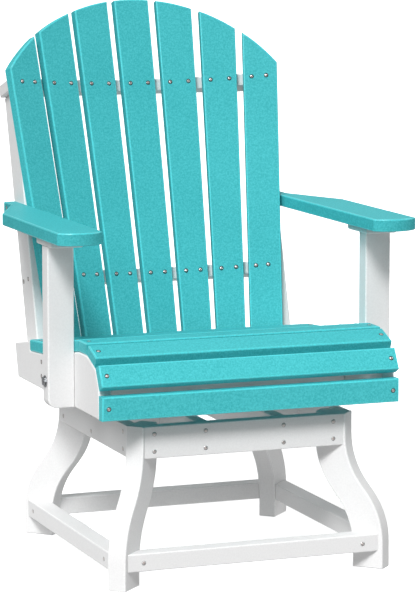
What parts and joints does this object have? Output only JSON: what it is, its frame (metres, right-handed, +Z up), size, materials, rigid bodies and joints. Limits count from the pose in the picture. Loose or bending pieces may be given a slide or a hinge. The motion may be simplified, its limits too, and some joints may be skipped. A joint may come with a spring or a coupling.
{
  "type": "adirondack swivel chair",
  "caption": "Slatted armchair with a fanned, reclined back and broad arms, turning on a ball-bearing swivel above a square base with S-shaped legs.",
  "frame": {"origin": "on the floor, under the middle of the chair's box at rest", "axes": "+Z up, -Y the way the sitter faces at rest, +X to the right as seen from the front"},
  "size_m": [0.7398, 0.7422, 1.091],
  "materials": {
    "teal_board": "satin, fine orange-peel skin",
    "white_board": "satin, fine orange-peel skin",
    "zinc_steel": "zinc plated",
    "dark_steel": "oiled"
  },
  "bodies": {
    "base": {"leg_front_left": "white_board", "leg_front_right": "white_board", "leg_rear_left": "white_board", "leg_rear_right": "white_board", "apron_front": "white_board", "apron_rear": "white_board", "apron_left": "white_board", "apron_right": "white_board", "stretcher_front": "white_board", "stretcher_rear": "white_board", "stretcher_left": "white_board", "stretcher_right": "white_board", "base_member_left": "white_board", "base_member_right": "white_board", "side_brace_left": "white_board", "side_brace_right": "white_board", "swivel_lower_plate": "zinc_steel", "swivel_pivot": "zinc_steel"},
    "ball_cage": {"swivel_ball_cage": "dark_steel"},
    "seat": {"swivel_upper_plate": "zinc_steel", "seat_board_front": "white_board", "seat_board_rear": "white_board", "side_panel_left": "white_board", "side_panel_right": "white_board", "seat_slat_1": "teal_board", "seat_slat_2": "teal_board", "seat_slat_3": "teal_board", "seat_slat_4": "teal_board", "seat_slat_5": "teal_board", "seat_slat_6": "teal_board", "seat_slat_7": "teal_board", "seat_slat_8": "teal_board", "post_left": "white_board", "post_right": "white_board", "arm_block_left": "white_board", "arm_block_right": "white_board", "arm_left": "teal_board", "arm_right": "teal_board", "post_bolt_left": "zinc_steel", "post_bolt_right": "zinc_steel", "post_washer_left": "zinc_steel", "post_washer_right": "zinc_steel", "post_nut_left": "zinc_steel", "post_nut_right": "zinc_steel", "upright_left": "white_board", "upright_right": "white_board", "back_rail_upper": "white_board", "back_rail_lower": "white_board", "back_slat_1": "teal_board", "back_slat_2": "teal_board", "back_slat_3": "teal_board", "back_slat_4": "teal_board", "back_slat_5": "teal_board", "back_slat_6": "teal_board", "back_slat_7": "teal_board"}
  },
  "joints": [
    {"name": "seat_swivel", "type": "hinge", "parent": "base", "child": "seat", "pos_m": [0, -0.05538, 0.317], "axis": [0, 0, 1], "continuous": true},
    {"name": "ball_cage_roll", "type": "hinge", "parent": "base", "child": "ball_cage", "pos_m": [0, -0.05538, 0.317], "axis": [0, 0, 1], "continuous": true}
  ],
  "couplings": [
    {"joint": "ball_cage_roll", "follows": "seat_swivel", "ratio": 0.5}
  ]
}
